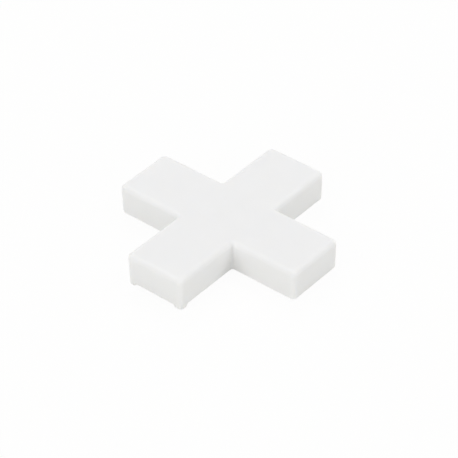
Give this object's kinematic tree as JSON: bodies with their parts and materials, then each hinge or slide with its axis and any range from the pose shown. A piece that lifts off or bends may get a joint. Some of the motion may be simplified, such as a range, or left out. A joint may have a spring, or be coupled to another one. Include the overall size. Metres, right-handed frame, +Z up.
{
  "type": "tile spacer",
  "caption": "Cross-shaped moulded plastic spacer that keeps an even joint between tiles, with softly rounded rims and small nubs under the tip of an arm.",
  "frame": {"origin": "under the middle of the cross, at the level of the nub feet, which are its lowest points", "axes": "+Z up through the thickness, out of the larger flat face; -Y along the arm that carries the nubs; +X along the arm to its right"},
  "size_m": [0.0322, 0.0322, 0.0054],
  "materials": {
    "natural_polyethylene": "satin"
  },
  "bodies": {
    "root": {"spacer": "natural_polyethylene"}
  },
  "joints": []
}
